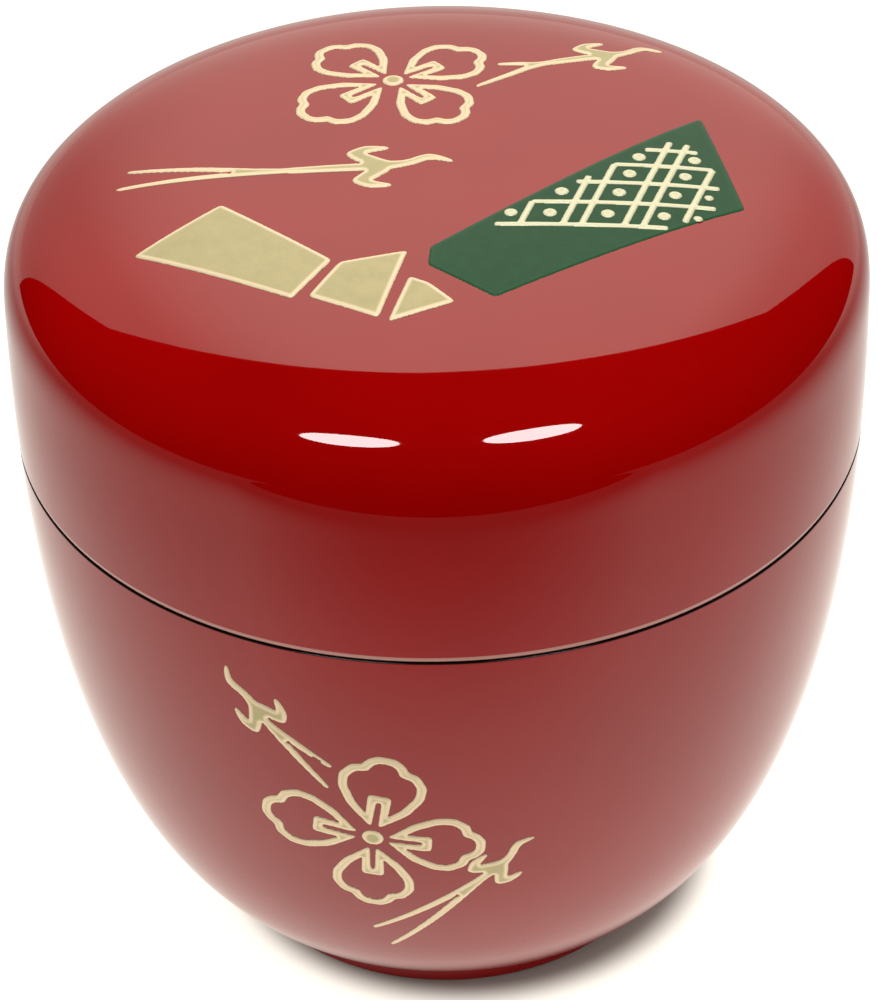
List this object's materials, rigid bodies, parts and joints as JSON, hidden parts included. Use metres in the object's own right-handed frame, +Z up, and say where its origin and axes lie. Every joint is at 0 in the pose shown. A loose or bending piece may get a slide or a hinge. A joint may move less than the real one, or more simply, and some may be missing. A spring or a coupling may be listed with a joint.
{
  "type": "tea caddy",
  "caption": "Round lacquered tea caddy with a slip-on lid, a low foot ring and gold and green ornament on the lid and cup.",
  "frame": {"origin": "centre of the foot ring's resting plane", "axes": "+Z up along the turning axis, -Y towards the decorated front of the cup"},
  "size_m": [0.066, 0.066, 0.0663],
  "materials": {
    "red_lacquer": "gloss red lacquer over turned wood",
    "gold_maki_e": "matt gold powder in lacquer",
    "green_lacquer": "semi-gloss green lacquer"
  },
  "bodies": {
    "cup": {"cup": "red_lacquer", "cup_blossom_centre": "gold_maki_e", "cup_blossom_petal_1": "gold_maki_e", "cup_blossom_petal_2": "gold_maki_e", "cup_blossom_petal_3": "gold_maki_e", "cup_blossom_petal_4": "gold_maki_e", "cup_crane_lower": "gold_maki_e", "cup_crane_upper": "gold_maki_e"},
    "lid": {"lid": "red_lacquer", "lid_blossom_centre": "gold_maki_e", "lid_blossom_petal_1": "gold_maki_e", "lid_blossom_petal_2": "gold_maki_e", "lid_blossom_petal_3": "gold_maki_e", "lid_blossom_petal_4": "gold_maki_e", "lid_crane_long": "gold_maki_e", "lid_crane_short": "gold_maki_e", "lid_gold_facet_1": "gold_maki_e", "lid_gold_facet_2": "gold_maki_e", "lid_gold_facet_3": "gold_maki_e", "lid_green_panel": "green_lacquer", "lid_lattice": "gold_maki_e", "lid_lattice_dot_1": "gold_maki_e", "lid_lattice_dot_10": "gold_maki_e", "lid_lattice_dot_11": "gold_maki_e", "lid_lattice_dot_12": "gold_maki_e", "lid_lattice_dot_13": "gold_maki_e", "lid_lattice_dot_2": "gold_maki_e", "lid_lattice_dot_3": "gold_maki_e", "lid_lattice_dot_4": "gold_maki_e", "lid_lattice_dot_5": "gold_maki_e", "lid_lattice_dot_6": "gold_maki_e", "lid_lattice_dot_7": "gold_maki_e", "lid_lattice_dot_8": "gold_maki_e", "lid_lattice_dot_9": "gold_maki_e"}
  },
  "joints": [
    {"name": "lid_lift", "type": "slide", "parent": "cup", "child": "lid", "axis": [0, 0, 1], "range_m": [0, 0.045]}
  ]
}
